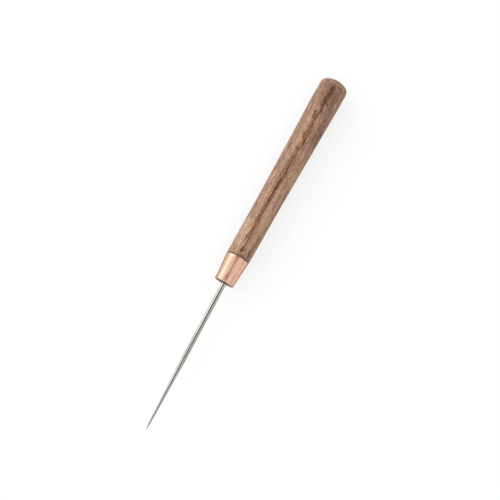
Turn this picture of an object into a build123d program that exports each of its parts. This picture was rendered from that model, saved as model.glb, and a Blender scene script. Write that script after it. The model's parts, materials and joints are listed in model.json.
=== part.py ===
from build123d import *
from math import cos, radians, sqrt, tan
import os

# A needle dibber: a turned hardwood handle, a tapered copper ferrule and a long steel spike.
#
# The tool lies on its side. +X runs along the handle's axis towards the tip, and +Z is up. The
# origin is on the surface that the tool lies on, under the middle of its length. Millimetres.

# Driving dimensions -----------------------------------------------------------------------------

overall_length = 200.0

handle_length = 103.0  # the wood that shows, from the butt to the shoulder at the ferrule
shoulder_diameter = 12.12
shoulder_chamfer = 0.25
flare_diameter = 12.37
flare_from_shoulder = 10.0  # the last slight narrowing towards the ferrule
waist_diameter = 12.62
waist_from_shoulder = 33.0  # the end of the slim grip, before it swells
swell_diameter = 13.68
swell_from_shoulder = 66.0
butt_diameter = 14.55
butt_band_length = 7.5  # the straight-sided end of the handle, its dome included
butt_crown_radius = 11.3
butt_edge_radius = 3.4

ferrule_length = 14.3
ferrule_wall = 0.7
ferrule_back_diameter = 12.0
ferrule_collar_diameter = 11.46
ferrule_collar_length = 4.5  # the nearly straight band at the back
ferrule_neck_diameter = 10.64
ferrule_neck_from_back = 9.0  # where the cone turns into the nose
ferrule_mouth_diameter = 10.2
ferrule_back_edge_radius = 0.15
ferrule_lip_radius = 0.4
ferrule_bore_edge_radius = 0.2
mouth_recess = 1.2  # the tenon stops this far inside the mouth

shank_diameter = 2.6
taper_length = 32.4
taper_end_diameter = 1.15
point_length = 6.8
point_fullness = 0.12  # how much the point's side bulges: 0 is a straight cone
spike_lean = 1.3  # degrees: the spike is set this much askew, towards +Y
lean_pivot_from_shoulder = 4.5  # where the spike's axis crosses the handle's

tang_diameter = 2.2
tang_length = 40.0
tang_end_chamfer = 0.4
key_groove_width = 1.0
key_groove_depth = 0.25
key_groove_pitch = 7.0
key_groove_count = 4
key_groove_start = 8.0  # from the front of the tang to the first groove
bore_diameter = 3.0
bore_spare_depth = 1.0  # past the end of the tang
drill_point_angle = 118.0

# Places along the handle's axis -----------------------------------------------------------------

butt_x = -overall_length / 2
tip_x = overall_length / 2
shoulder_x = butt_x + handle_length
mouth_x = shoulder_x + ferrule_length
tenon_end_x = mouth_x - mouth_recess
pivot_x = shoulder_x + lean_pivot_from_shoulder
axis_height = butt_diameter / 2  # the widest part touches the surface

# Places along the spike's own axis, from the point where it crosses the handle's ---------------

spike_reach = (tip_x - pivot_x) / cos(radians(spike_lean))
point_start = spike_reach - point_length
shank_end = point_start - taper_length
shank_start = (tenon_end_x - pivot_x) / cos(radians(spike_lean))
tang_end = shank_start - tang_length
bore_bottom = tang_end - bore_spare_depth


def turned(*outline):
    """A solid turned about the X axis from a closed outline above it."""
    return revolve(make_face(outline), axis=Axis.X)


def rod(diameter, start, end):
    """A round bar on the X axis from start to end."""
    length = end - start
    return Pos(start + length / 2, 0, 0) * Rot(0, 90, 0) * Cylinder(diameter / 2, length)


def set_askew(solid):
    """Moves a solid from the spike's own axis to its leaning place in the handle."""
    return Pos(pivot_x, 0, 0) * Rot(0, 0, spike_lean) * solid


def rings_at(solid, x):
    """The solid's round edges whose centre lies at this place along the X axis."""
    found = solid.edges().filter_by(GeomType.CIRCLE)
    return found.filter_by(lambda edge: abs(edge.arc_center.X - x) < 0.001).sort_by(SortBy.RADIUS)


def inside_ferrule(inset):
    """The solid under the ferrule's outer side, with that side moved inwards by inset."""
    back_radius = ferrule_back_diameter / 2 - inset
    mouth_radius = ferrule_mouth_diameter / 2 - inset
    side = Spline(
        (shoulder_x, back_radius),
        (shoulder_x + ferrule_collar_length, ferrule_collar_diameter / 2 - inset),
        (shoulder_x + ferrule_neck_from_back, ferrule_neck_diameter / 2 - inset),
        (mouth_x, mouth_radius),
    )
    front = Line((mouth_x, mouth_radius), (mouth_x, 0))
    middle = Line((mouth_x, 0), (shoulder_x, 0))
    back = Line((shoulder_x, 0), (shoulder_x, back_radius))
    return turned(side, front, middle, back)


def make_ferrule():
    """A tapered copper tube: a collar, a soft shoulder, a cone and a nose with a rounded lip."""
    tube = inside_ferrule(0) - inside_ferrule(ferrule_wall)
    tube = fillet(rings_at(tube, mouth_x)[-1], ferrule_lip_radius)
    tube = fillet(rings_at(tube, mouth_x)[0], ferrule_bore_edge_radius)
    return fillet(rings_at(tube, shoulder_x)[-1], ferrule_back_edge_radius)


def make_grip():
    """The wood that shows: slim behind the ferrule, swelling to a domed butt."""
    butt_radius = butt_diameter / 2
    crown_x = butt_x + crown_drop(butt_radius)
    band_x = butt_x + butt_band_length
    band = Line((crown_x, butt_radius), (band_x, butt_radius))
    side = Spline(
        (band_x, butt_radius),
        (shoulder_x - swell_from_shoulder, swell_diameter / 2),
        (shoulder_x - waist_from_shoulder, waist_diameter / 2),
        (shoulder_x - flare_from_shoulder, flare_diameter / 2),
        (shoulder_x, shoulder_diameter / 2),
    )
    crown_middle = (butt_x + crown_drop(butt_radius / 2), butt_radius / 2)
    crown = ThreePointArc((butt_x, 0), crown_middle, (crown_x, butt_radius))
    front = Line((shoulder_x, shoulder_diameter / 2), (shoulder_x, 0))
    middle = Line((shoulder_x, 0), (butt_x, 0))
    grip = turned(crown, band, side, front, middle)
    grip = fillet(rings_at(grip, crown_x)[-1], butt_edge_radius)
    return chamfer(rings_at(grip, shoulder_x)[-1], shoulder_chamfer)


def crown_drop(radius):
    """How far the butt's dome has fallen back from its top at this distance from the axis."""
    return butt_crown_radius - sqrt(butt_crown_radius**2 - radius**2)


def make_bore():
    """What the drill takes out for the tang: a round hole with a conical bottom."""
    hole = rod(bore_diameter, bore_bottom, spike_reach)
    drill_point_length = bore_diameter / 2 / tan(radians(drill_point_angle / 2))
    middle = bore_bottom - drill_point_length / 2
    cone = Cone(0, bore_diameter / 2, drill_point_length)
    return set_askew(hole + Pos(middle, 0, 0) * Rot(0, 90, 0) * cone)


def make_tenon():
    """The front of the handle that fills the ferrule, as far as the recess in its mouth."""
    reach = rod(ferrule_back_diameter, shoulder_x, tenon_end_x)
    return inside_ferrule(ferrule_wall) & reach


def tang_points():
    """The tang's side from the axis at its end to the shank, with its glue grooves."""
    tang_radius = tang_diameter / 2
    groove_radius = tang_radius - key_groove_depth
    points = [
        (tang_end, 0),
        (tang_end, tang_radius - tang_end_chamfer),
        (tang_end + tang_end_chamfer, tang_radius),
    ]
    for number in reversed(range(key_groove_count)):
        front = shank_start - key_groove_start - number * key_groove_pitch
        back = front - key_groove_width
        points += [(back, tang_radius), (back, groove_radius)]
        points += [(front, groove_radius), (front, tang_radius)]
    return points + [(shank_start, tang_radius)]


def make_spike():
    """A round steel rod: a grooved tang, a plain shank, a long taper and a ground point."""
    shank_radius = shank_diameter / 2
    taper_end_radius = taper_end_diameter / 2
    blade_points = [
        (shank_start, shank_radius),
        (shank_end, shank_radius),
        (point_start, taper_end_radius),
    ]
    fullness = 0.5 + point_fullness
    pull = (point_start + fullness * point_length, fullness * taper_end_radius)
    side = Polyline(*tang_points(), *blade_points)
    point = Bezier((point_start, taper_end_radius), pull, (spike_reach, 0))
    middle = Line((spike_reach, 0), (tang_end, 0))
    return set_askew(turned(side, point, middle))


def make_parts():
    """Each piece by its name, on the handle's axis."""
    bore = make_bore()
    spike = make_spike()
    blank = make_grip() + make_tenon()
    return {
        "handle": blank - bore,
        "ferrule": make_ferrule(),
        "spike": spike,
        "tang_adhesive": (bore & blank) - spike,
    }


os.makedirs("parts", exist_ok=True)
for name, piece in make_parts().items():
    export_step(Pos(0, 0, axis_height) * piece, f"parts/{name}.step")
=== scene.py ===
import json
from math import asin, cos, degrees, pi, radians, sin, sqrt, tan

import bpy
from mathutils import Matrix, Vector


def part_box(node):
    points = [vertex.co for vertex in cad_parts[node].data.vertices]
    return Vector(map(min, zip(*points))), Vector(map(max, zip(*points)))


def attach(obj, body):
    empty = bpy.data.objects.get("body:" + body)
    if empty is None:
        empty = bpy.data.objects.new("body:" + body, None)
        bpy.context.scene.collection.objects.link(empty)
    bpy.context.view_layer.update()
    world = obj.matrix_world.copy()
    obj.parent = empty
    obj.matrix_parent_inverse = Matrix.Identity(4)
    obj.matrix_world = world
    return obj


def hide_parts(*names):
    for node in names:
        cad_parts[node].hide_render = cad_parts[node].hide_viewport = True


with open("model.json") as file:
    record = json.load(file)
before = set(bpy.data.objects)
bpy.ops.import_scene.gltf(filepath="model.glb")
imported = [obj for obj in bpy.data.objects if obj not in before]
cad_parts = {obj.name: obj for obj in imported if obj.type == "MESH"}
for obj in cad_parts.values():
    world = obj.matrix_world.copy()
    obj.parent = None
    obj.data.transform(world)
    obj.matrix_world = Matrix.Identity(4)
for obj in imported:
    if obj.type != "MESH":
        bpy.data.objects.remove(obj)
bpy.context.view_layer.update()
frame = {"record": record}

# A needle dibber that lies on its side: a turned hardwood handle, a copper ferrule and a steel
# spike glued into the handle. Lengths are in millimetres until a piece's mesh is made in metres.

MM = 0.001

# Where the pieces are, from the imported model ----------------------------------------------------

handle_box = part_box("handle")
ferrule_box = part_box("ferrule")
spike_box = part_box("spike")
shank_mount = next(m for m in frame["record"]["mounts"] if m["name"] == "spike_shank")

butt_x = handle_box[0].x / MM
tenon_end_x = handle_box[1].x / MM
shoulder_x = ferrule_box[0].x / MM
mouth_x = ferrule_box[1].x / MM
tip_x = spike_box[1].x / MM
butt_radius = (handle_box[1].z - handle_box[0].z) / MM / 2
axis_height = butt_radius

# The handle's own dimensions --------------------------------------------------------------------

butt_band_length = 7.5
butt_crown_radius = 11.3
butt_edge_radius = 3.4
swell = (66.0, 6.84)  # each pair: distance back from the shoulder, radius there
waist = (33.0, 6.31)
flare = (10.0, 6.185)
shoulder_radius = 6.06
shoulder_chamfer = 0.25

# The ferrule's ----------------------------------------------------------------------------------

ferrule_wall = 0.7
ferrule_back_radius = 6.0
ferrule_collar = (4.5, 5.73)  # each pair: distance from the back edge, radius there
ferrule_neck = (9.0, 5.32)
ferrule_mouth_radius = 5.1
back_edge_round = 0.15
lip_round = 0.4
bore_edge_round = 0.2
polishing_wave_depth = 0.045
polishing_wave_size = 7.0

# The spike's, and those of the bore and the glue that hold it -----------------------------------

shank_radius = 1.3
taper_length = 32.4
taper_end_radius = 0.575
point_length = 6.8
point_fullness = 0.12
tang_radius = 1.1
tang_length = 40.0
tang_end_chamfer = 0.4
key_groove_width = 1.0
key_groove_depth = 0.25
key_groove_pitch = 7.0
key_groove_count = 4
key_groove_start = 8.0
bore_radius = 1.5
bore_spare_depth = 1.0
drill_point_angle = 118.0
glue_fillet_height = 0.55
lean_pivot_x = shoulder_x + 4.5  # where the spike's leaning axis crosses the handle's
spike_lean = degrees(asin(shank_mount["axis"][1]))

# Places along the spike's own axis, from the point where it crosses the handle's.
spike_reach = (tip_x - lean_pivot_x) / cos(radians(spike_lean))
point_start = spike_reach - point_length
taper_start = point_start - taper_length
shank_start = (tenon_end_x - lean_pivot_x) / cos(radians(spike_lean))
tang_end = shank_start - tang_length
bore_bottom = tang_end - bore_spare_depth
drill_end = bore_bottom - bore_radius / tan(radians(drill_point_angle / 2))

TURNING_STEPS = 128  # flats round each turned piece
SAME_POINT = 0.0005  # points nearer to each other than this are one point


# Outlines: lists of (place along the axis, radius) ----------------------------------------------


def arc(centre, radius, start, end, steps):
    """Points on an arc about a centre: 0 degrees faces the butt, and 90 away from the axis."""
    points = []
    for step in range(steps + 1):
        angle = radians(start + (end - start) * step / steps)
        points.append((centre[0] - radius * cos(angle), centre[1] + radius * sin(angle)))
    return points


def flowing_line(points, steps):
    """A smooth line through the points, level at the first, in so many steps between each two."""
    slopes = [0.0]
    for before, after in zip(points, points[2:]):
        slopes.append((after[1] - before[1]) / (after[0] - before[0]))
    slopes.append((points[-1][1] - points[-2][1]) / (points[-1][0] - points[-2][0]))
    line = []
    for number in range(len(points) - 1):
        (start_x, start_radius), (end_x, end_radius) = points[number : number + 2]
        span = end_x - start_x
        for step in range(steps):
            done = step / steps
            left = 1 - done
            radius = start_radius * left * left * (1 + 2 * done)
            radius += end_radius * done * done * (3 - 2 * done)
            radius += slopes[number] * span * done * left * left
            radius -= slopes[number + 1] * span * done * done * left
            line.append((start_x + span * done, radius))
    return line + [points[-1]]


def ferrule_side(inset):
    """The ferrule's outer side from back to mouth, moved inwards by inset."""
    return flowing_line(
        [
            (shoulder_x, ferrule_back_radius - inset),
            (shoulder_x + ferrule_collar[0], ferrule_collar[1] - inset),
            (shoulder_x + ferrule_neck[0], ferrule_neck[1] - inset),
            (mouth_x, ferrule_mouth_radius - inset),
        ],
        steps=12,
    )


def between(line, start_x, end_x):
    """The points of a line that lie well inside two places along the axis."""
    room = 0.05
    return [point for point in line if start_x + room < point[0] < end_x - room]


def handle_outline():
    """The domed butt, the slim side, the chamfered shoulder and the tenon in the ferrule."""
    crown_centre = (butt_x + butt_crown_radius, 0.0)
    edge_height = butt_radius - butt_edge_radius
    reach = butt_crown_radius - butt_edge_radius
    turn_over = degrees(asin(edge_height / reach))
    edge_centre = (crown_centre[0] - sqrt(reach**2 - edge_height**2), edge_height)
    crown = arc(crown_centre, butt_crown_radius, 0, turn_over, steps=14)
    edge = arc(edge_centre, butt_edge_radius, turn_over, 90, steps=14)
    side = flowing_line(
        [
            (butt_x + butt_band_length, butt_radius),
            (shoulder_x - swell[0], swell[1]),
            (shoulder_x - waist[0], waist[1]),
            (shoulder_x - flare[0], flare[1]),
            (shoulder_x, shoulder_radius),
        ],
        steps=16,
    )
    chamfer = [
        (shoulder_x - shoulder_chamfer, shoulder_radius),
        (shoulder_x, shoulder_radius - shoulder_chamfer),
    ]
    side = side[:1] + between(side, side[0][0], chamfer[0][0])
    inside = ferrule_side(ferrule_wall)
    tenon = [inside[0]] + between(inside, shoulder_x, tenon_end_x)
    tenon_end = [(tenon_end_x, tenon[-1][1]), (tenon_end_x, 0.0)]
    return crown + edge[1:] + side + chamfer + tenon + tenon_end


def ferrule_outline():
    """A tapered tube's wall: back edge, outer side, rounded lip, inner side and back again."""
    back_edge_centre = (shoulder_x + back_edge_round, ferrule_back_radius - back_edge_round)
    back_edge = arc(back_edge_centre, back_edge_round, 0, 90, steps=5)
    lip_centre = (mouth_x - lip_round, ferrule_mouth_radius - lip_round)
    lip = arc(lip_centre, lip_round, 90, 180, steps=8)
    bore_mouth = ferrule_mouth_radius - ferrule_wall
    bore_edge_centre = (mouth_x - bore_edge_round, bore_mouth + bore_edge_round)
    bore_edge = arc(bore_edge_centre, bore_edge_round, 180, 270, steps=5)
    outer = between(ferrule_side(0), back_edge[-1][0], lip[0][0])
    inner = between(ferrule_side(ferrule_wall), shoulder_x, bore_edge[-1][0])
    inner_back = (shoulder_x, ferrule_back_radius - ferrule_wall)
    return back_edge + outer + lip + bore_edge + inner[::-1] + [inner_back, back_edge[0]]


def tang_outline():
    """The tang's side from its end to the shank, with its glue grooves."""
    groove_radius = tang_radius - key_groove_depth
    points = [
        (tang_end, tang_radius - tang_end_chamfer),
        (tang_end + tang_end_chamfer, tang_radius),
    ]
    for number in reversed(range(key_groove_count)):
        front = shank_start - key_groove_start - number * key_groove_pitch
        back = front - key_groove_width
        points += [(back, tang_radius), (back, groove_radius)]
        points += [(front, groove_radius), (front, tang_radius)]
    return points + [(shank_start, tang_radius)]


def spike_outline():
    """The grooved tang, the plain shank, the long taper and the ground point."""
    crease_room = 0.4  # rings this near to each crease keep the long sides straight in the gloss
    narrowing = (shank_radius - taper_end_radius) / taper_length
    blade = [
        (shank_start, shank_radius),
        (taper_start - crease_room, shank_radius),
        (taper_start, shank_radius),
        (taper_start + crease_room, shank_radius - crease_room * narrowing),
        (point_start - crease_room, taper_end_radius + crease_room * narrowing),
    ]
    point_steps = 12
    pull = 0.5 + point_fullness
    point = []
    for step in range(point_steps + 1):
        done = step / point_steps
        weights = ((1 - done) ** 2, 2 * done * (1 - done) * pull)
        along = point_start + point_length * (weights[1] + done * done)
        point.append((along, taper_end_radius * (weights[0] + weights[1])))
    return [(tang_end, 0.0)] + tang_outline() + blade + point


def adhesive_outline():
    """The glue's sleeve round the tang, and the small fillet it leaves against the shank."""
    fillet_steps = 6
    fillet = []
    for step in range(fillet_steps + 1):
        angle = radians(90 * step / fillet_steps)
        along = shank_start + glue_fillet_height * (1 - sin(angle))
        fillet.append((along, shank_radius + glue_fillet_height * (1 - cos(angle))))
    inside = [(tang_end, 0.0)] + tang_outline() + [(shank_start, shank_radius)]
    outside = [(shank_start, bore_radius), (bore_bottom, bore_radius), (drill_end, 0.0)]
    return inside + fillet + outside


def bore_outline():
    """What the drill takes out of the handle for the tang."""
    return [(drill_end, 0.0), (bore_bottom, bore_radius), (mouth_x, bore_radius), (mouth_x, 0.0)]


# Making pieces ----------------------------------------------------------------------------------


def select_only(piece):
    """Makes a piece the only one that the next tool works on."""
    bpy.ops.object.select_all(action="DESELECT")
    piece.select_set(True)
    bpy.context.view_layer.objects.active = piece


def turn_on_lathe(name, outline):
    """A piece turned about the handle's axis: its outline drawn point by point, then spun."""
    start = Vector((outline[0][0], 0, axis_height + outline[0][1])) * MM
    bpy.ops.object.select_all(action="DESELECT")
    bpy.ops.mesh.primitive_plane_add(size=MM, location=start)
    piece = bpy.context.object
    piece.name = name
    bpy.ops.object.transform_apply(location=True)
    bpy.ops.object.mode_set(mode="EDIT")
    bpy.ops.mesh.select_all(action="SELECT")
    bpy.ops.mesh.merge(type="CENTER")
    for before, after in zip(outline, outline[1:]):
        step = Vector((after[0] - before[0], 0, after[1] - before[1])) * MM
        bpy.ops.mesh.extrude_region_move(TRANSFORM_OT_translate={"value": step})
    bpy.ops.mesh.select_all(action="SELECT")
    centre = (0, 0, axis_height * MM)
    bpy.ops.mesh.spin(steps=TURNING_STEPS, angle=2 * pi, center=centre, axis=(1, 0, 0))
    bpy.ops.mesh.select_all(action="SELECT")
    bpy.ops.mesh.remove_doubles(threshold=SAME_POINT * MM)
    bpy.ops.mesh.normals_make_consistent(inside=False)
    bpy.ops.object.mode_set(mode="OBJECT")
    return piece


def set_askew(piece):
    """Moves a piece turned on the spike's own axis to its leaning place in the handle."""
    select_only(piece)
    bpy.ops.object.mode_set(mode="EDIT")
    bpy.ops.mesh.select_all(action="SELECT")
    pivot = (0, 0, axis_height * MM)
    bpy.ops.transform.rotate(value=-radians(spike_lean), orient_axis="Z", center_override=pivot)
    bpy.ops.transform.translate(value=(lean_pivot_x * MM, 0, 0))
    bpy.ops.object.mode_set(mode="OBJECT")


def drill(piece):
    """Takes the leaning bore for the tang out of a piece."""
    drill_bit = turn_on_lathe("drill_bit", bore_outline())
    set_askew(drill_bit)
    select_only(piece)
    cut = piece.modifiers.new("bore", "BOOLEAN")
    cut.operation = "DIFFERENCE"
    cut.object = drill_bit
    bpy.ops.object.modifier_apply(modifier=cut.name)
    bpy.data.objects.remove(drill_bit)


def make_uneven(piece, depth, size):
    """Gives a piece the slight waviness of hand polishing."""
    select_only(piece)
    waves = bpy.data.textures.new(piece.name + "_waves", "CLOUDS")
    waves.noise_scale = size * MM
    waves.noise_depth = 0
    bend = piece.modifiers.new("waves", "DISPLACE")
    bend.texture = waves
    bend.texture_coords = "LOCAL"
    bend.strength = depth * MM
    bpy.ops.object.modifier_apply(modifier=bend.name)


def smooth(piece, angle):
    """Smooth shading, with a crease where the surface turns by more than the angle."""
    select_only(piece)
    bpy.ops.object.shade_smooth_by_angle(angle=radians(angle))


def hand_in(piece, finish, node):
    """The finished piece takes its material, stands for its node and rides with it."""
    piece.data.materials.clear()
    piece.data.materials.append(finish)
    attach(piece, "root")
    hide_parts(node)


# Mixing finishes --------------------------------------------------------------------------------


def shade(red, green, blue):
    """A colour as it looks on a screen, 0 to 255, in the linear values that a shader takes."""
    linear = []
    for value in (red, green, blue):
        share = value / 255
        linear.append(share / 12.92 if share <= 0.04045 else ((share + 0.055) / 1.055) ** 2.4)
    return (*linear, 1.0)


def grey(level):
    """The same level in all three colours."""
    return (level, level, level, 1.0)


class Mixer:
    """Adds nodes to a material's or the studio's tree and joins them."""

    def __init__(self, tree):
        self.tree = tree

    def join(self, socket, value):
        """Joins an input to another node's output, or sets it to a plain value."""
        if isinstance(value, bpy.types.NodeSocket):
            self.tree.links.new(value, socket)
        else:
            socket.default_value = value

    def add(self, kind, inputs=None, **settings):
        """A new node with its settings and its inputs, by name or by number."""
        node = self.tree.nodes.new(kind)
        for name, value in settings.items():
            setattr(node, name, value)
        for name, value in (inputs or {}).items():
            self.join(node.inputs[name], value)
        return node

    def sum(self, operation, first, second=0.0, third=0.0):
        """One step of arithmetic."""
        node = self.add("ShaderNodeMath", {0: first, 1: second, 2: third}, operation=operation)
        return node.outputs[0]

    def colour_sum(self, operation, first, second):
        """One step of arithmetic on red, green and blue at once."""
        node = self.add("ShaderNodeVectorMath", {0: first, 1: second}, operation=operation)
        return node.outputs[0]

    def swing(self, noise, width):
        """Noise from 0 to 1, made to swing about 0 over so much in all."""
        return self.sum("MULTIPLY_ADD", noise, width, -width / 2)

    def rise(self, value, start, end, first=0.0, last=1.0):
        """Goes softly from first to last as the value goes from start to end."""
        inputs = {"Value": value, "From Min": start, "From Max": end}
        inputs.update({"To Min": first, "To Max": last})
        return self.add("ShaderNodeMapRange", inputs, interpolation_type="SMOOTHSTEP").outputs[0]

    def hump(self, value, middle, core, fade):
        """1 within core of the middle, falling softly to 0 over the fade on each side."""
        away = self.sum("ABSOLUTE", self.sum("SUBTRACT", value, middle))
        return self.rise(away, core, core + fade, first=1.0, last=0.0)

    def split(self, place):
        """A place's three parts: along the handle, across it to the side, and up."""
        node = self.add("ShaderNodeSeparateXYZ", {"Vector": place})
        return node.outputs[0], node.outputs[1], node.outputs[2]

    def distance(self, first, second):
        """The length of two parts at right angles."""
        squares = self.sum("MULTIPLY_ADD", first, first, self.sum("MULTIPLY", second, second))
        return self.sum("SQRT", squares)

    def blend(self, amount, first, second):
        """Mixes two colours."""
        node = self.add("ShaderNodeMix", data_type="RGBA")
        self.join(node.inputs[0], amount)
        self.join(node.inputs[6], first)
        self.join(node.inputs[7], second)
        return node.outputs[2]

    def ramp(self, value, stops):
        """Colours by value: each stop is where it is from 0 to 1, and the colour there."""
        node = self.add("ShaderNodeValToRGB", {"Fac": value})
        elements = node.color_ramp.elements
        while len(elements) < len(stops):
            elements.new(0.5)
        for element, (where, colour) in zip(elements, stops):
            element.position = where
            element.color = colour
        return node.outputs[0]


class Finish(Mixer):
    """A material while it is mixed. Its patterns are in millimetres from the handle's axis."""

    def __init__(self, name):
        self.material = bpy.data.materials.new(name)
        self.material.use_nodes = True
        super().__init__(self.material.node_tree)
        self.surface = self.tree.nodes["Principled BSDF"]
        place = self.add("ShaderNodeTexCoord").outputs["Object"]
        to_axis = self.add("ShaderNodeMapping", {"Vector": place})
        to_axis.inputs["Scale"].default_value = (1 / MM, 1 / MM, 1 / MM)
        to_axis.inputs["Location"].default_value = (0, 0, -axis_height)
        self.place = to_axis.outputs[0]

    def fibres(self, place, along, across, seed, detail=2.0):
        """Soft cloudy streaks from 0 to 1, so long along the handle and so wide across it."""
        stretched = self.add("ShaderNodeMapping", {"Vector": place})
        stretched.inputs["Scale"].default_value = (1 / along, 1 / across, 1 / across)
        # Each seed takes its streaks from another part of the noise.
        stretched.inputs["Location"].default_value = (seed * 3.7, seed * 9.1, seed * 5.3)
        inputs = {"Vector": stretched.outputs[0], "Scale": 1.0, "Detail": detail}
        inputs["Roughness"] = 0.55
        return self.add("ShaderNodeTexNoise", inputs).outputs[0]

    def finish(self, part, value):
        """Sets one of the surface's own inputs."""
        self.join(self.surface.inputs[part], value)

    def relief(self, height, depth):
        """Gives the surface a fine relief, as deep as depth in millimetres."""
        inputs = {"Height": height, "Distance": depth * MM, "Strength": 1.0}
        self.finish("Normal", self.add("ShaderNodeBump", inputs).outputs[0])


# The handle's oiled hardwood --------------------------------------------------------------------

light_tan = shade(204, 170, 141)
tan_brown = shade(178, 140, 113)
pink_brown = shade(157, 119, 99)
dull_brown = shade(124, 95, 80)
grey_brown = shade(104, 88, 79)
orange_brown = shade(158, 108, 78)
dome_tan = shade(164, 125, 96)
# The tenon's end grain is painted pale, as painted light in the ferrule's shaded mouth.
pale_end_grain_painted_light = shade(198, 174, 154)
vein_red = shade(145, 93, 64)
vein_dark = shade(86, 51, 36)
almost_black = shade(52, 36, 30)

small_knot_x = -79.0

# Patches where the figure is darker, greyer or paler. Each has its middle, along the handle and
# to its side, then its half length and half width, its tint and how strong that is.
patches = [
    ((-89.5, 2.4), (7.5, 2.6), dull_brown, 0.85),
    ((-89.5, 3.9), (2.4, 0.9), orange_brown, 0.8),
    ((-78.0, -3.5), (18.0, 3.5), pink_brown, 0.25),
    ((-42.0, 4.6), (17.0, 2.5), light_tan, 0.35),
    ((-84.9, 1.6), (2.0, 1.0), grey_brown, 0.95),
    ((-95.3, -2.7), (2.0, 1.9), dull_brown, 0.95),
    ((-95.4, 2.6), (1.8, 2.2), dull_brown, 0.7),
    ((-92.0, -2.5), (5.0, 2.6), pink_brown, 0.7),
    ((-94.0, -1.0), (2.5, 1.6), dull_brown, 0.8),
    ((-94.0, -3.9), (1.6, 1.1), dull_brown, 0.8),
    ((-91.5, -1.7), (5.0, 1.1), dull_brown, 0.7),
    ((-87.0, -2.4), (7.0, 2.0), dull_brown, 0.4),
    ((-86.5, -6.3), (6.5, 0.9), dull_brown, 0.7),
    ((-82.0, -5.5), (3.5, 0.9), dull_brown, 0.7),
    ((-77.6, -1.9), (2.6, 1.3), dull_brown, 0.8),
    ((-79.5, 2.3), (3.0, 0.6), light_tan, 0.6),
    ((-75.5, 1.4), (3.0, 0.7), light_tan, 0.6),
    ((-82.5, 5.9), (3.0, 0.9), tan_brown, 0.7),
    ((-76.5, 4.6), (4.0, 1.3), orange_brown, 0.5),
    ((-73.5, 3.6), (4.5, 0.8), dull_brown, 0.5),
    ((-68.5, 5.2), (7.0, 1.7), dull_brown, 0.6),
    ((-75.6, 3.8), (2.8, 0.5), dull_brown, 0.9),
    ((-70.9, 5.5), (2.8, 0.6), grey_brown, 0.9),
    ((-65.5, 6.0), (3.0, 0.6), grey_brown, 0.9),
    ((-67.0, 3.6), (3.2, 0.5), dull_brown, 0.7),
    ((-66.5, 1.5), (2.5, 0.5), pink_brown, 0.7),
    ((-69.5, 1.2), (4.0, 0.8), dull_brown, 0.6),
    ((-62.0, 4.6), (3.0, 1.0), pink_brown, 0.7),
    ((-75.5, -3.2), (5.0, 0.8), light_tan, 0.5),
    ((-69.5, -3.8), (4.0, 0.7), pink_brown, 0.7),
    ((-65.0, -4.2), (4.5, 1.4), pink_brown, 0.9),
    ((-62.5, -2.0), (3.0, 0.7), light_tan, 0.8),
    ((-66.6, -1.6), (1.6, 1.0), dull_brown, 0.9),
    ((-59.5, -5.0), (5.0, 1.0), dull_brown, 0.8),
    ((-54.8, -2.9), (2.4, 1.6), pink_brown, 0.8),
    ((-59.5, -2.4), (2.5, 0.8), pink_brown, 0.6),
    ((-52.0, -1.0), (14.0, 0.8), orange_brown, 0.5),
    ((-50.0, -4.5), (4.0, 0.8), light_tan, 0.3),
    ((-40.5, 3.2), (3.5, 1.1), pink_brown, 0.7),
    ((-52.4, 3.6), (1.8, 1.0), pink_brown, 0.8),
    ((-48.6, 2.6), (1.2, 1.9), pink_brown, 0.7),
    ((-45.4, 1.8), (1.6, 0.8), light_tan, 0.3),
    ((-40.3, 1.6), (1.3, 1.0), pink_brown, 0.6),
    ((-29.0, 2.6), (1.8, 0.9), dull_brown, 0.7),
    ((-46.5, -1.6), (4.0, 0.7), dull_brown, 0.5),
    ((-38.0, -5.9), (5.0, 0.7), pink_brown, 0.7),
    ((-34.0, -3.3), (5.0, 0.7), light_tan, 0.3),
    ((-35.0, 1.2), (4.0, 0.7), light_tan, 0.6),
    ((-24.0, 2.2), (8.0, 1.0), light_tan, 0.7),
    ((-18.5, -3.4), (3.5, 1.6), pink_brown, 0.8),
    ((-17.2, -5.4), (1.8, 0.8), pink_brown, 0.7),
    ((-17.2, -4.0), (1.2, 1.7), dull_brown, 0.6),
    ((-4.0, 2.6), (4.0, 1.2), light_tan, 0.5),
    ((-42.0, -4.6), (4.5, 0.7), light_tan, 0.6),
    ((-44.0, 5.4), (6.0, 1.0), light_tan, 0.5),
    ((-35.0, 5.6), (4.5, 0.7), grey_brown, 0.7),
    ((-20.8, -2.8), (2.5, 0.8), pink_brown, 0.8),
    ((-16.0, 3.4), (13.0, 1.9), light_tan, 0.6),
    ((-13.5, -4.8), (5.0, 1.0), light_tan, 0.9),
    ((-10.0, -3.0), (3.0, 1.0), light_tan, 0.3),
    ((-5.0, -4.2), (5.0, 1.5), light_tan, 0.6),
    ((-6.5, -1.3), (3.0, 0.5), dull_brown, 0.6),
    ((-10.0, -2.0), (1.8, 0.6), light_tan, 0.8),
    ((-3.5, -2.5), (2.0, 0.7), light_tan, 0.7),
    ((-1.0, 3.8), (1.6, 0.7), grey_brown, 0.7),
    ((2.4, 1.1), (0.9, 1.4), grey_brown, 0.5),
]

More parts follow.
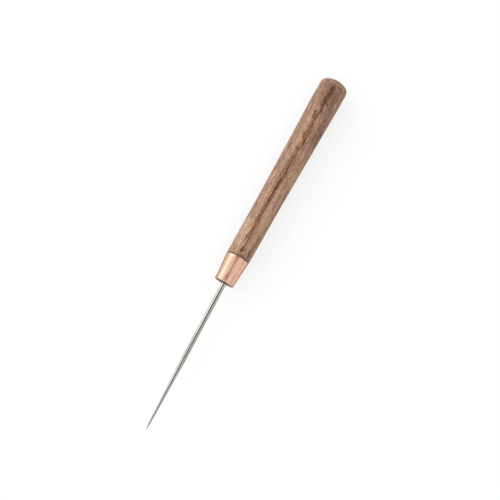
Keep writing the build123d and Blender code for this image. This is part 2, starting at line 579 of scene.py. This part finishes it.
# The courses of the veins. Each row is a place along, how far to the side the vein runs there,
# its half width and its strength. First the wide vein down the middle of the upper side.
wide_vein = [
    (-100.0, -0.2, 0.5, 0.3),
    (-97.4, -0.2, 0.6, 0.2),
    (-95.6, -0.2, 0.9, 0.9),
    (-88.0, -0.4, 1.3, 0.95),
    (-84.0, -0.4, 1.2, 0.9),
    (-82.3, -0.2, 0.95, 0.95),
    (-79.7, 0.1, 0.6, 0.85),
    (-77.0, -0.45, 0.85, 0.9),
    (-71.4, -0.4, 1.0, 0.95),
    (-67.2, -0.2, 1.0, 0.95),
    (-64.6, -0.1, 1.0, 0.95),
    (-63.2, 0.4, 0.6, 0.9),
    (-60.5, 0.45, 0.45, 0.9),
    (-58.4, 0.1, 0.5, 0.75),
    (-54.0, 0.15, 0.5, 0.8),
    (-51.0, 0.05, 0.45, 0.8),
    (-46.5, -0.25, 0.45, 0.95),
    (-42.0, 0.0, 0.6, 0.9),
    (-38.0, -0.25, 0.75, 1.0),
    (-30.0, -0.6, 0.7, 0.95),
    (-23.0, -0.45, 0.85, 0.95),
    (-18.0, -0.4, 0.95, 0.95),
    (-11.0, -0.15, 0.85, 0.75),
    (-6.6, 0.1, 0.5, 0.9),
    (-3.0, 0.0, 0.4, 0.8),
    (-0.2, -0.15, 0.6, 0.95),
    (1.2, -0.1, 0.5, 0.6),
    (2.6, 0.0, 0.8, 0.95),
]

# The darker part of the wide vein.
vein_shadow = [
    (-97.0, -0.1, 0.2, 0.0),
    (-94.5, -0.3, 0.7, 0.8),
    (-91.0, -0.2, 0.8, 0.85),
    (-88.0, -0.5, 0.8, 0.75),
    (-86.5, -0.6, 0.8, 0.8),
    (-84.5, -0.4, 0.6, 0.7),
    (-82.4, -0.2, 0.35, 0.5),
    (-81.3, 0.3, 0.45, 0.9),
    (-80.0, 0.3, 0.1, 0.2),
    (-78.3, -0.6, 0.1, 0.2),
    (-76.6, -0.7, 0.3, 0.6),
    (-74.5, -0.5, 0.1, 0.1),
    (-68.0, 0.5, 0.1, 0.4),
    (-62.5, 0.5, 0.35, 0.8),
    (-60.0, 0.4, 0.15, 0.6),
    (-57.0, -0.2, 0.1, 0.3),
    (-50.0, -0.35, 0.1, 0.5),
    (-44.6, -0.1, 0.25, 0.7),
    (-43.0, -0.45, 0.1, 0.3),
    (-41.0, -0.55, 0.2, 0.9),
    (-39.5, -0.6, 0.4, 1.0),
    (-37.5, -0.7, 0.35, 0.9),
    (-34.0, -0.6, 0.4, 0.9),
    (-31.0, -0.8, 0.2, 0.6),
    (-28.5, -0.95, 0.25, 0.8),
    (-26.0, -0.7, 0.1, 0.3),
    (-20.0, -0.3, 0.1, 0.4),
    (-6.6, 0.0, 0.1, 0.5),
    (-2.6, -0.1, 0.15, 0.6),
    (-1.4, -0.2, 0.45, 0.8),
    (0.2, -0.35, 0.5, 0.85),
    (1.4, -0.3, 0.05, 0.1),
]

# Broken dark streaks along one side of the wide vein.
side_streaks = [
    (-62.0, -0.9, 0.05, 0.0),
    (-60.2, -0.9, 0.15, 0.7),
    (-58.3, -0.8, 0.25, 0.8),
    (-56.0, -1.0, 0.05, 0.1),
    (-54.2, -1.2, 0.2, 0.6),
    (-49.0, -1.3, 0.1, 0.6),
    (-46.4, -1.7, 0.3, 0.8),
    (-42.3, -1.6, 0.2, 0.6),
    (-38.0, -1.2, 0.15, 0.4),
    (-35.0, -1.3, 0.1, 0.2),
    (-28.0, -1.4, 0.1, 0.2),
    (-22.0, -1.4, 0.1, 0.3),
    (-17.3, -1.5, 0.3, 0.7),
    (-12.0, -1.7, 0.1, 0.1),
    (-7.5, -1.5, 0.25, 0.6),
    (-4.0, -1.4, 0.05, 0.1),
    (0.0, -1.2, 0.1, 0.4),
    (1.4, -1.2, 0.05, 0.1),
]

# A faint streak well over on the +Y side, near the ferrule.
far_streak = [
    (-32.0, 5.6, 0.2, 0.0),
    (-26.0, 5.3, 0.3, 0.3),
    (-16.0, 5.0, 0.4, 0.1),
    (-9.0, 4.2, 0.4, 0.4),
    (-1.0, 4.0, 0.4, 0.5),
]

# Two dark strokes, one down each side of the small knot, which meet in a spot at its end.
knot_outer = [
    (-82.4, -1.5, 0.05, 0.0),
    (-81.0, -2.0, 0.15, 0.8),
    (-79.0, -2.3, 0.2, 0.8),
    (-77.8, -2.2, 0.1, 0.4),
    (-76.8, -1.95, 0.25, 0.9),
    (-75.8, -1.9, 0.05, 0.0),
]
knot_inner = [
    (-81.2, -1.1, 0.05, 0.0),
    (-80.0, -1.3, 0.1, 0.6),
    (-78.0, -1.4, 0.1, 0.6),
    (-76.8, -1.7, 0.05, 0.0),
]

# One vein on the lower side.
vein_beneath = [
    (-99.0, 2.0, 0.4, 0.9),
    (-60.0, 1.2, 0.3, 0.5),
    (-46.0, -0.8, 0.5, 0.9),
    (-20.0, -0.4, 0.2, 0.6),
    (0.0, 0.6, 0.5, 0.9),
]


class Hardwood(Finish):
    """The handle's wood. Its figure is laid out by the place along the handle and to its side."""

    def __init__(self, name):
        super().__init__(name)
        self.along, self.side, self.up = self.split(self.place)
        self.on_top = self.rise(self.up, -2.5, 1.0)
        self.beneath = self.rise(self.up, -1.0, 2.5, first=1.0, last=0.0)
        self.speckle = self.fibres(self.place, along=1.6, across=0.4, seed=4, detail=3.0)
        self.jitter = self.swing(self.speckle, 1.3)

    def reach(self, middle, size):
        """How far a place is from the middle of an oval: 1 at its edge."""
        along = self.sum("DIVIDE", self.sum("SUBTRACT", self.along, middle[0]), size[0])
        side = self.sum("DIVIDE", self.sum("SUBTRACT", self.side, middle[1]), size[1])
        return self.distance(along, side)

    def grow(self, knots):
        """Growth layers that stand nearly upright, wander along the handle and part round knots."""
        wander = self.fibres(self.place, along=26.0, across=8.0, seed=1)
        drift = self.swing(wander, 2.2)
        for middle, size, shown in knots:
            near = self.rise(self.reach(middle, size), 0.1, 1.4, first=0.9, last=0.0)
            aside = self.sum("SUBTRACT", middle[1], self.side)
            drift = self.sum("MULTIPLY_ADD", aside, self.sum("MULTIPLY", near, shown), drift)
        # Beside the small knot the layers slant across the handle.
        near_knot = self.hump(self.along, small_knot_x, core=2.0, fade=9.0)
        beside_knot = self.sum("MULTIPLY", near_knot, self.rise(self.side, 0.6, 2.2))
        slant = self.sum("MULTIPLY", self.sum("SUBTRACT", self.along, small_knot_x), 0.42)
        drift = self.sum("MULTIPLY_ADD", slant, beside_knot, drift)
        drift = self.sum("MULTIPLY_ADD", self.jitter, 0.55, drift)
        depth = self.sum("SUBTRACT", 7.0, self.up)
        self.layer = self.sum("MULTIPLY_ADD", depth, 0.25, self.sum("ADD", self.side, drift))
        grain = self.add("ShaderNodeCombineXYZ", {0: self.along, 1: self.layer, 2: self.up})
        self.grain = grain.outputs[0]
        self.streak = self.fibres(self.grain, along=6.0, across=0.45, seed=3, detail=4.0)

    def by_length(self, stops):
        """Colours along the handle: each stop is a place on its axis, and the colour there."""
        inputs = {"Value": self.along, "From Min": butt_x, "From Max": shoulder_x}
        share = self.add("ShaderNodeMapRange", inputs).outputs[0]
        length = shoulder_x - butt_x
        return self.ramp(share, [((where - butt_x) / length, colour) for where, colour in stops])

    def stain(self, colour, middle, size, tint, amount):
        """A streaky patch of another tint about a place on the upper side."""
        away = self.sum("ADD", self.reach(middle, size), self.swing(self.streak, 3.4))
        mask = self.rise(away, 0.35, 1.2, first=amount, last=0.0)
        return self.blend(self.sum("MULTIPLY", mask, self.on_top), colour, tint)

    def ring(self, colour, middle, size, tint, amount):
        """A thin broken oval line on the upper side, as round a small knot."""
        away = self.sum("MULTIPLY_ADD", self.jitter, 0.5, self.reach(middle, size))
        broken = self.rise(self.speckle, 0.4, 0.55, first=amount * 0.2, last=amount)
        mask = self.sum("MULTIPLY", self.hump(away, 1.0, core=0.1, fade=0.28), broken)
        return self.blend(self.sum("MULTIPLY", mask, self.on_top), colour, tint)

    def vein(self, colour, course, tint, shown, ragged):
        """A dark line with soft, ragged edges along its course."""
        widest = 2.0
        edge = 0.3
        stops = []
        for along, side, half_width, strength in course:
            side_share = side / butt_radius / 2 + 0.5
            stops.append((along, (side_share, half_width / widest, strength, 1.0)))
        parts = self.add("ShaderNodeSeparateColor", {0: self.by_length(stops)}).outputs
        middle = self.swing(parts[0], 2 * butt_radius)
        half = self.sum("MULTIPLY", parts[1], widest)
        side = self.sum("MULTIPLY_ADD", self.jitter, ragged, self.side)
        away = self.sum("ABSOLUTE", self.sum("SUBTRACT", side, middle))
        mask = self.rise(away, half, self.sum("ADD", half, edge), first=parts[2], last=0.0)
        return self.blend(self.sum("MULTIPLY", mask, shown), colour, tint)


def wood_ground(wood):
    """Broad soft streaks with narrower ones inside them, warmer and greyer by turns."""
    broad = wood.fibres(wood.grain, along=22.0, across=1.5, seed=2, detail=4.0)
    tone = wood.sum("MULTIPLY_ADD", broad, 0.5, wood.sum("MULTIPLY", wood.streak, 0.5))
    colour = wood.ramp(
        tone,
        [(0.385, dull_brown), (0.45, pink_brown), (0.525, tan_brown), (0.64, light_tan)],
    )
    warmth = wood.fibres(wood.grain, along=14.0, across=2.2, seed=9)
    colour = wood.blend(wood.rise(warmth, 0.52, 0.7, last=0.4), colour, orange_brown)
    return wood.blend(wood.rise(warmth, 0.44, 0.3, last=0.4), colour, grey_brown)


def add_patches(wood, colour):
    """The patches, the broken rings round two small knots and the slanting lines beside one."""
    for middle, size, tint, amount in patches:
        colour = wood.stain(colour, middle, size, tint, amount)
    colour = wood.ring(colour, (-84.9, 2.0), (2.4, 1.6), dull_brown, 0.25)
    colour = wood.ring(colour, (-90.8, -3.7), (1.5, 0.9), vein_red, 0.7)
    colour = wood.ring(colour, (-90.8, -3.7), (3.2, 1.7), vein_red, 0.4)
    line_pitch = 1.3
    wave = wood.sum("SINE", wood.sum("MULTIPLY", wood.layer, 2 * pi / line_pitch))
    place = wood.reach((small_knot_x, 3.5), (7.5, 3.0))
    beside = wood.rise(place, 0.6, 1.1, first=0.75, last=0.0)
    slanting = wood.sum("MULTIPLY", wood.rise(wave, -0.1, 0.8), beside)
    return wood.blend(wood.sum("MULTIPLY", slanting, wood.on_top), colour, dull_brown)


def add_veins(wood, colour):
    """The mottled red vein and the darker ones in it and beside it, and the one beneath."""
    mottle = wood.fibres(wood.place, along=1.6, across=0.5, seed=10, detail=3.0)
    red = wood.colour_sum("MULTIPLY", vein_red[:3], wood.rise(mottle, 0.38, 0.6, 0.48, 1.2))
    broken = wood.sum("MULTIPLY", wood.on_top, wood.rise(mottle, 0.48, 0.62, 1.0, 0.7))
    colour = wood.vein(colour, wide_vein, red, broken, ragged=0.6)
    colour = wood.vein(colour, vein_shadow, vein_dark, wood.on_top, ragged=0.8)
    colour = wood.vein(colour, side_streaks, vein_dark, wood.on_top, ragged=1.0)
    colour = wood.vein(colour, far_streak, dull_brown, wood.on_top, ragged=1.0)
    colour = wood.vein(colour, knot_outer, vein_dark, wood.on_top, ragged=0.3)
    colour = wood.vein(colour, knot_inner, vein_dark, wood.on_top, ragged=0.3)
    return wood.vein(colour, vein_beneath, red, wood.beneath, ragged=1.0)


def add_ends(wood, colour):
    """The dome's end grain, darker at the crown with painted shade; dark residue and painted shade
    at the ferrule; the tenon's end painted pale as painted light.
    """
    dome = wood.rise(wood.along, -98.4, -96.4, first=0.45, last=0.0)
    colour = wood.blend(dome, colour, dome_tan)
    upright = wood.add("ShaderNodeCombineXYZ", {0: wood.up, 1: wood.layer}).outputs[0]
    end_rings = wood.fibres(upright, along=9.0, across=0.5, seed=6, detail=3.0)
    end_colour = wood.ramp(
        end_rings,
        [(0.4, almost_black), (0.47, grey_brown), (0.62, dome_tan)],
    )
    # Oiled end grain at the crown, darkened further with painted shade along the dome's rim.
    crown = wood.rise(wood.along, -98.5, -97.8, first=0.75, last=0.0)
    colour = wood.blend(crown, colour, end_colour)
    # Dark residue in the joint at the shoulder, with painted shade in its groove that fades up the
    # wood.
    joint_residue_and_shade_place = wood.sum("MULTIPLY_ADD", wood.jitter, 0.4, wood.along)
    edge = wood.hump(joint_residue_and_shade_place, shoulder_x + 1.0, core=1.22, fade=0.48)
    colour = wood.blend(wood.sum("MULTIPLY", edge, 0.9), colour, almost_black)
    # The tenon's end is painted pale, as painted light against the shade inside the ferrule's
    # mouth.
    tenon_end = wood.rise(wood.along, tenon_end_x - 1.0, tenon_end_x - 0.2, last=0.8)
    return wood.blend(tenon_end, colour, pale_end_grain_painted_light)


def oiled_hardwood():
    wood = Hardwood("oiled_hardwood")
    wood.grow(
        [
            ((-79.2, -1.75), (6.0, 1.9), wood.on_top),
            ((-90.8, -3.7), (4.0, 2.2), wood.on_top),
            ((-46.0, 1.5), (8.0, 3.0), wood.beneath),
        ]
    )
    colour = wood_ground(wood)
    colour = add_patches(wood, colour)
    colour = add_veins(wood, colour)

    # Light and dark flecks all over. Their three noises make the lightness 1 on the whole.
    fine = wood.fibres(wood.grain, along=2.6, across=0.35, seed=8, detail=3.0)
    fleck = wood.fibres(wood.grain, along=1.6, across=0.3, seed=12, detail=4.0)
    hairs = wood.fibres(wood.place, along=5.0, across=0.11, seed=13)
    lightness = wood.sum("MULTIPLY_ADD", fleck, 2.1, -1.16)
    lightness = wood.sum("MULTIPLY_ADD", fine, 1.2, lightness)
    lightness = wood.sum("ADD", hairs, lightness)
    colour = wood.colour_sum("MULTIPLY", colour, lightness)

    # Pores: short dark strokes that are also cut into the surface.
    pore_noise = wood.fibres(wood.grain, along=1.8, across=0.16, seed=5, detail=1.0)
    pore = wood.rise(pore_noise, 0.58, 0.7)
    colour = wood.blend(wood.sum("MULTIPLY", pore, 0.5), colour, almost_black)

    wood.finish("Base Color", add_ends(wood, colour))
    wood.finish("Roughness", wood.rise(fine, 0.3, 0.7, 0.44, 0.56))
    wood.finish("Specular IOR Level", 0.35)
    height = wood.sum("SUBTRACT", wood.sum("MULTIPLY", fine, 0.5), pore)
    wood.relief(height, depth=0.02)
    return wood.material


# The metals and the glue ------------------------------------------------------------------------


def polished_copper():
    copper = Finish("polished_copper")
    cloud = copper.fibres(copper.place, along=3.0, across=2.0, seed=11, detail=3.0)
    colour = copper.ramp(cloud, [(0.35, shade(239, 194, 173)), (0.65, shade(246, 200, 176))])
    # Inside the mouth the copper is unpolished and dull, and its light grey colour is painted light
    # that lifts the shade in the recess.
    side, up = copper.split(copper.place)[1:]
    dull_and_lifted_inside = copper.rise(copper.distance(side, up), 4.62, 4.86, first=1.0, last=0.0)
    colour = copper.blend(dull_and_lifted_inside, colour, shade(216, 196, 186))
    copper.finish("Base Color", colour)
    copper.finish("Metallic", 1.0)
    copper.finish("Specular Tint", shade(140, 100, 92))
    lines = copper.fibres(copper.place, along=0.12, across=4.0, seed=12)
    polish = copper.rise(lines, 0.3, 0.7, 0.21, 0.24)
    copper.finish("Roughness", copper.sum("MULTIPLY_ADD", dull_and_lifted_inside, 0.35, polish))
    copper.relief(lines, depth=0.0004)
    return copper.material


def bright_steel():
    steel = Finish("bright_steel")
    cloud = steel.fibres(steel.place, along=6.0, across=0.8, seed=21, detail=3.0)
    drawn = steel.ramp(cloud, [(0.35, shade(185, 183, 177)), (0.65, shade(196, 193, 188))])
    ground = steel.ramp(cloud, [(0.35, shade(179, 176, 172)), (0.65, shade(189, 187, 182))])
    along = steel.split(steel.place)[0]
    taper_x = lean_pivot_x + taper_start
    colour = steel.blend(steel.rise(along, taper_x - 2.0, taper_x + 2.0), drawn, ground)
    # The steel is painted darker towards the point.
    darker_towards_point = steel.rise(along, tip_x - point_length - 2.5, tip_x, last=0.95)
    colour = steel.blend(darker_towards_point, colour, shade(134, 132, 127))
    steel.finish("Base Color", colour)
    steel.finish("Metallic", 1.0)
    lines = steel.fibres(steel.place, along=5.0, across=0.06, seed=22)
    steel.finish("Roughness", steel.rise(lines, 0.3, 0.7, 0.05, 0.1))
    steel.relief(lines, depth=0.0005)
    return steel.material


def cured_adhesive():
    glue = Finish("cured_adhesive")
    cloud = glue.fibres(glue.place, along=1.2, across=0.6, seed=31, detail=3.0)
    colour = glue.ramp(cloud, [(0.35, shade(96, 70, 48)), (0.65, shade(134, 102, 66))])
    glue.finish("Base Color", colour)
    glue.finish("Roughness", glue.rise(cloud, 0.3, 0.7, 0.12, 0.3))
    glue.relief(cloud, depth=0.03)
    return glue.material


# The camera -------------------------------------------------------------------------------------

camera_tilt = 9.01  # degrees from straight above, towards the tip
camera_roll = 29.353  # degrees that the handle's axis is turned in the view
camera_aim = Vector((-3.478, 3.337, axis_height))
camera_distance = 1200.0
lens_length = 174.109
sensor_width = 36.0

back = Vector((sin(radians(camera_tilt)), 0, cos(radians(camera_tilt))))
towards_butt = Vector((-cos(radians(camera_tilt)), 0, sin(radians(camera_tilt))))
across = Vector((0, 1, 0))
right = towards_butt * sin(radians(camera_roll)) + across * cos(radians(camera_roll))
above = towards_butt * cos(radians(camera_roll)) - across * sin(radians(camera_roll))
bpy.ops.object.camera_add()
camera = bpy.context.object
camera.data.lens = lens_length
camera.data.sensor_width = sensor_width
turned = Matrix((right, above, back)).transposed().to_4x4()
camera.matrix_world = Matrix.Translation((camera_aim + back * camera_distance) * MM) @ turned
bpy.context.scene.camera = camera
bpy.context.scene.view_settings.view_transform = "Standard"

# The studio -------------------------------------------------------------------------------------

wall_distance = 6.0  # the studio's own sizes are in metres
wall_height = 0.45
floor_size = 2.5 * wall_distance
glow_in_gloss = 0.86  # how much of its glow the paper keeps where it shows in a gloss


def lay_paper(sheet, name, level, glow):
    """Covers a sheet with pale paper, which glows just where it is looked at, to stay white."""
    sheet.name = name
    paper = bpy.data.materials.new(name + "_paper")
    paper.use_nodes = True
    mixer = Mixer(paper.node_tree)
    surface = paper.node_tree.nodes["Principled BSDF"]
    surface.inputs["Base Color"].default_value = grey(level)
    surface.inputs["Roughness"].default_value = 0.9
    surface.inputs["Specular IOR Level"].default_value = 0.1
    surface.inputs["Emission Color"].default_value = grey(1.0)
    ray = mixer.add("ShaderNodeLightPath").outputs
    in_gloss = mixer.sum("MULTIPLY", ray["Is Glossy Ray"], glow_in_gloss)
    seen = mixer.sum("MAXIMUM", ray["Is Camera Ray"], in_gloss)
    seen = mixer.sum("MAXIMUM", seen, ray["Is Transmission Ray"])
    mixer.join(surface.inputs["Emission Strength"], mixer.sum("MULTIPLY", seen, glow))
    sheet.data.materials.append(paper)


bpy.ops.object.select_all(action="DESELECT")
bpy.ops.mesh.primitive_plane_add(size=floor_size)
lay_paper(bpy.context.object, "floor", level=0.28, glow=0.74)
bpy.ops.mesh.primitive_cylinder_add(
    vertices=96,
    radius=wall_distance,
    depth=wall_height,
    end_fill_type="NOTHING",
    location=(0, 0, wall_height / 2),
)
lay_paper(bpy.context.object, "backdrop", level=0.2, glow=0.9)

studio = bpy.data.worlds.new("studio")
bpy.context.scene.world = studio
studio.use_nodes = True
sky = Mixer(studio.node_tree)
direction = sky.add("ShaderNodeTexCoord").outputs["Generated"]
sky_along, sky_side, sky_up = sky.split(direction)
ceiling = sky.ramp(
    sky_up,
    [(0.0, grey(0.86)), (0.3, grey(0.8)), (0.6, grey(0.92)), (0.8, grey(0.97)), (1.0, grey(0.92))],
)
from_above = sky.sum("ARCTAN2", sky_side, sky_up)
angle_share = sky.sum("MULTIPLY_ADD", from_above, 1 / (2 * pi), 0.5)


def colour_by_angle(stops):
    """The sky's colour by its angle from straight above, in degrees: below 0 on the -Y side."""
    return sky.ramp(angle_share, [(angle / 360 + 0.5, colour) for angle, colour in stops])


def level_by_angle(stops):
    """The sky's level by its angle from above, as plain greys."""
    return colour_by_angle([(angle, grey(level)) for angle, level in stops])


# The sky has long stripes, light and dark by their angle, that the metals show along the tool.
over_ferrule = level_by_angle(
    [
        (-90, 1.3),
        (-80, 1.54),
        (-70, 1.66),
        (-62, 1.5),
        (-54, 1.26),
        (-46, 1.1),
        (-37, 0.94),
        (-26, 0.88),
        (-20, 0.82),
        (-12, 0.7),
        (-7, 0.36),
        (0, 0.34),
        (8, 0.7),
        (20, 0.84),
        (32, 0.88),
        (45, 0.9),
        (56, 0.88),
        (66, 0.78),
        (90, 0.68),
    ]
)
over_spike = level_by_angle(
    [
        (-90, 1.9),
        (-60, 2.05),
        (-44, 1.95),
        (-28, 0.02),
        (10, 0.02),
        (24, 0.75),
        (40, 1.35),
        (60, 0.4),
        (90, 0.15),
    ]
)

# Beside each stripe that the spike shows, a stripe that evens it out in the softer gloss of copper.
twice_over_ferrule = sky.colour_sum("ADD", over_ferrule, over_ferrule)
beside_spike = sky.colour_sum("SUBTRACT", twice_over_ferrule, over_spike)

# A slight tint: greener on the -Y side, redder on the +Y side.
tint = colour_by_angle(
    [
        (-90, (0.98, 1.12, 1.1, 1.0)),
        (-64.8, (0.98, 1.1, 1.02, 1.0)),
        (-43.2, (1.0, 0.99, 0.92, 1.0)),
        (-28.8, (1.0, 0.94, 0.9, 1.0)),
        (54, (1.0, 0.95, 0.94, 1.0)),
        (79.2, (1.0, 0.9, 0.88, 1.0)),
    ]
)

# Where each set of stripes lies along the sky, by the part of the tool that shows it.
band_fade = 0.012
seen_in_shank = sky.hump(sky_along, -0.121, core=0.022, fade=band_fade)
seen_in_taper = sky.hump(sky_along, -0.046, core=0.018, fade=band_fade)
seen_in_spike = sky.sum("MAXIMUM", seen_in_shank, seen_in_taper)
evened_out = sky.hump(sky_along, -0.045, core=0.065, fade=band_fade)
overhead = sky.blend(evened_out, over_ferrule, beside_spike)
overhead = sky.colour_sum("MULTIPLY", overhead, tint)
overhead = sky.blend(seen_in_spike, overhead, over_spike)
striped = sky.rise(sky.sum("ABSOLUTE", sky_along), 0.3, 0.5, first=1.0, last=0.0)
background = studio.node_tree.nodes["Background"]
sky.join(background.inputs["Color"], sky.blend(striped, ceiling, overhead))


def soft_panel(name, place, width, height, power):
    """A large soft lamp that faces the object and doesn't show in its gloss."""
    lamp = bpy.data.lights.new(name, "AREA")
    lamp.shape = "RECTANGLE"
    lamp.size = width
    lamp.size_y = height
    lamp.energy = power
    panel = bpy.data.objects.new(name, lamp)
    bpy.context.scene.collection.objects.link(panel)
    panel.location = place
    panel.rotation_euler = (-Vector(place)).to_track_quat("-Z", "Y").to_euler()
    panel.visible_camera = False
    panel.visible_glossy = False


soft_panel("left_panel", place=(0.0, -0.72, 0.34), width=1.6, height=0.72, power=4.0)

# The object -------------------------------------------------------------------------------------

handle = turn_on_lathe("turned_handle", handle_outline())
drill(handle)
ferrule = turn_on_lathe("copper_ferrule", ferrule_outline())
make_uneven(ferrule, polishing_wave_depth, polishing_wave_size)
spike = turn_on_lathe("steel_spike", spike_outline())
set_askew(spike)
adhesive = turn_on_lathe("tang_glue", adhesive_outline())
set_askew(adhesive)
smooth(handle, angle=30)
smooth(ferrule, angle=40)
smooth(spike, angle=30)
smooth(adhesive, angle=40)

hand_in(handle, oiled_hardwood(), "handle")
hand_in(ferrule, polished_copper(), "ferrule")
hand_in(spike, bright_steel(), "spike")
hand_in(adhesive, cured_adhesive(), "tang_adhesive")
